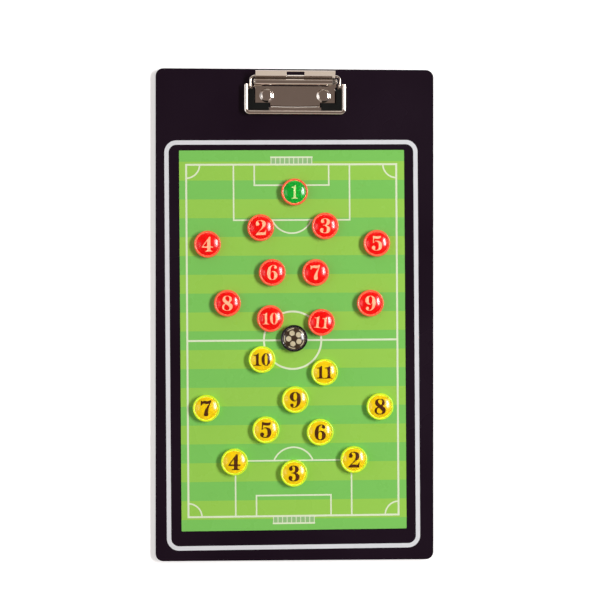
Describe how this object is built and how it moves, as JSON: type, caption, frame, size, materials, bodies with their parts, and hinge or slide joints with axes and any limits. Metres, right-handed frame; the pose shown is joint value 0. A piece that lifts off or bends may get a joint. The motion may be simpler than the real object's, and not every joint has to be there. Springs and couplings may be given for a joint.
{
  "type": "magnetic tactics board",
  "caption": "Flat portrait tactics board printed with a football pitch, with a sprung clip for paper at its top edge and loose round magnetic counters.",
  "frame": {"origin": "middle of the board's back face", "axes": "+X across the board to the right, +Y along it towards the clip, +Z out of the printed face"},
  "size_m": [0.218, 0.385, 0.0141],
  "materials": {
    "core_panel": "rigid board core, black, cut edge",
    "printed_film": "satin laminate, very dark aubergine, printed with the pitch",
    "back_film": "satin laminate, black",
    "steel_sheet": "mill finish sheet, hidden under the printed film",
    "nickel_plate": "nickel plate on pressed steel, slightly warm",
    "steel_wire": "drawn steel",
    "black_rubber": "moulded black rubber",
    "red_plastic": "translucent red cap under a clear dome",
    "yellow_plastic": "translucent yellow cap under a clear dome",
    "green_plastic": "green disc in a translucent red cap under a clear dome",
    "ball_plastic": "black cap with a plain football under a clear dome",
    "ferrite": "matt dark grey sintered magnet"
  },
  "bodies": {
    "board": {"back_film": "back_film", "core_panel": "core_panel", "steel_sheet": "steel_sheet", "printed_film": "printed_film", "base_plate": "nickel_plate", "left_rivet": "nickel_plate", "right_rivet": "nickel_plate", "hinge_pin": "steel_wire", "torsion_spring": "steel_wire"},
    "clip_lever": {"thumb_lever": "nickel_plate", "bow_wire": "nickel_plate", "bow": "nickel_plate", "left_pad": "black_rubber", "right_pad": "black_rubber"},
    "green_1": {"green_1_cap": "green_plastic", "green_1_magnet": "ferrite"},
    "red_2": {"red_2_cap": "red_plastic", "red_2_magnet": "ferrite"},
    "red_3": {"red_3_cap": "red_plastic", "red_3_magnet": "ferrite"},
    "red_4": {"red_4_cap": "red_plastic", "red_4_magnet": "ferrite"},
    "red_5": {"red_5_cap": "red_plastic", "red_5_magnet": "ferrite"},
    "red_6": {"red_6_cap": "red_plastic", "red_6_magnet": "ferrite"},
    "red_7": {"red_7_cap": "red_plastic", "red_7_magnet": "ferrite"},
    "red_8": {"red_8_cap": "red_plastic", "red_8_magnet": "ferrite"},
    "red_9": {"red_9_cap": "red_plastic", "red_9_magnet": "ferrite"},
    "red_10": {"red_10_cap": "red_plastic", "red_10_magnet": "ferrite"},
    "red_11": {"red_11_cap": "red_plastic", "red_11_magnet": "ferrite"},
    "yellow_2": {"yellow_2_cap": "yellow_plastic", "yellow_2_magnet": "ferrite"},
    "yellow_3": {"yellow_3_cap": "yellow_plastic", "yellow_3_magnet": "ferrite"},
    "yellow_4": {"yellow_4_cap": "yellow_plastic", "yellow_4_magnet": "ferrite"},
    "yellow_5": {"yellow_5_cap": "yellow_plastic", "yellow_5_magnet": "ferrite"},
    "yellow_6": {"yellow_6_cap": "yellow_plastic", "yellow_6_magnet": "ferrite"},
    "yellow_7": {"yellow_7_cap": "yellow_plastic", "yellow_7_magnet": "ferrite"},
    "yellow_8": {"yellow_8_cap": "yellow_plastic", "yellow_8_magnet": "ferrite"},
    "yellow_9": {"yellow_9_cap": "yellow_plastic", "yellow_9_magnet": "ferrite"},
    "yellow_10": {"yellow_10_cap": "yellow_plastic", "yellow_10_magnet": "ferrite"},
    "yellow_11": {"yellow_11_cap": "yellow_plastic", "yellow_11_magnet": "ferrite"},
    "ball": {"ball_cap": "ball_plastic", "ball_magnet": "ferrite"}
  },
  "joints": [
    {"name": "clip_hinge", "type": "hinge", "parent": "board", "child": "clip_lever", "pos_m": [0, 0.1819, 0.0086], "axis": [-1, 0, 0], "range_deg": [0, 25], "stiffness_Nm_per_rad": 0.3, "springref_deg": -45.84},
    {"name": "lift_green_1", "type": "slide", "parent": "board", "child": "green_1", "axis": [0, 0, 1], "range_m": [0, 0.03]},
    {"name": "lift_red_2", "type": "slide", "parent": "board", "child": "red_2", "axis": [0, 0, 1], "range_m": [0, 0.03]},
    {"name": "lift_red_3", "type": "slide", "parent": "board", "child": "red_3", "axis": [0, 0, 1], "range_m": [0, 0.03]},
    {"name": "lift_red_4", "type": "slide", "parent": "board", "child": "red_4", "axis": [0, 0, 1], "range_m": [0, 0.03]},
    {"name": "lift_red_5", "type": "slide", "parent": "board", "child": "red_5", "axis": [0, 0, 1], "range_m": [0, 0.03]},
    {"name": "lift_red_6", "type": "slide", "parent": "board", "child": "red_6", "axis": [0, 0, 1], "range_m": [0, 0.03]},
    {"name": "lift_red_7", "type": "slide", "parent": "board", "child": "red_7", "axis": [0, 0, 1], "range_m": [0, 0.03]},
    {"name": "lift_red_8", "type": "slide", "parent": "board", "child": "red_8", "axis": [0, 0, 1], "range_m": [0, 0.03]},
    {"name": "lift_red_9", "type": "slide", "parent": "board", "child": "red_9", "axis": [0, 0, 1], "range_m": [0, 0.03]},
    {"name": "lift_red_10", "type": "slide", "parent": "board", "child": "red_10", "axis": [0, 0, 1], "range_m": [0, 0.03]},
    {"name": "lift_red_11", "type": "slide", "parent": "board", "child": "red_11", "axis": [0, 0, 1], "range_m": [0, 0.03]},
    {"name": "lift_yellow_2", "type": "slide", "parent": "board", "child": "yellow_2", "axis": [0, 0, 1], "range_m": [0, 0.03]},
    {"name": "lift_yellow_3", "type": "slide", "parent": "board", "child": "yellow_3", "axis": [0, 0, 1], "range_m": [0, 0.03]},
    {"name": "lift_yellow_4", "type": "slide", "parent": "board", "child": "yellow_4", "axis": [0, 0, 1], "range_m": [0, 0.03]},
    {"name": "lift_yellow_5", "type": "slide", "parent": "board", "child": "yellow_5", "axis": [0, 0, 1], "range_m": [0, 0.03]},
    {"name": "lift_yellow_6", "type": "slide", "parent": "board", "child": "yellow_6", "axis": [0, 0, 1], "range_m": [0, 0.03]},
    {"name": "lift_yellow_7", "type": "slide", "parent": "board", "child": "yellow_7", "axis": [0, 0, 1], "range_m": [0, 0.03]},
    {"name": "lift_yellow_8", "type": "slide", "parent": "board", "child": "yellow_8", "axis": [0, 0, 1], "range_m": [0, 0.03]},
    {"name": "lift_yellow_9", "type": "slide", "parent": "board", "child": "yellow_9", "axis": [0, 0, 1], "range_m": [0, 0.03]},
    {"name": "lift_yellow_10", "type": "slide", "parent": "board", "child": "yellow_10", "axis": [0, 0, 1], "range_m": [0, 0.03]},
    {"name": "lift_yellow_11", "type": "slide", "parent": "board", "child": "yellow_11", "axis": [0, 0, 1], "range_m": [0, 0.03]},
    {"name": "lift_ball", "type": "slide", "parent": "board", "child": "ball", "axis": [0, 0, 1], "range_m": [0, 0.03]}
  ]
}
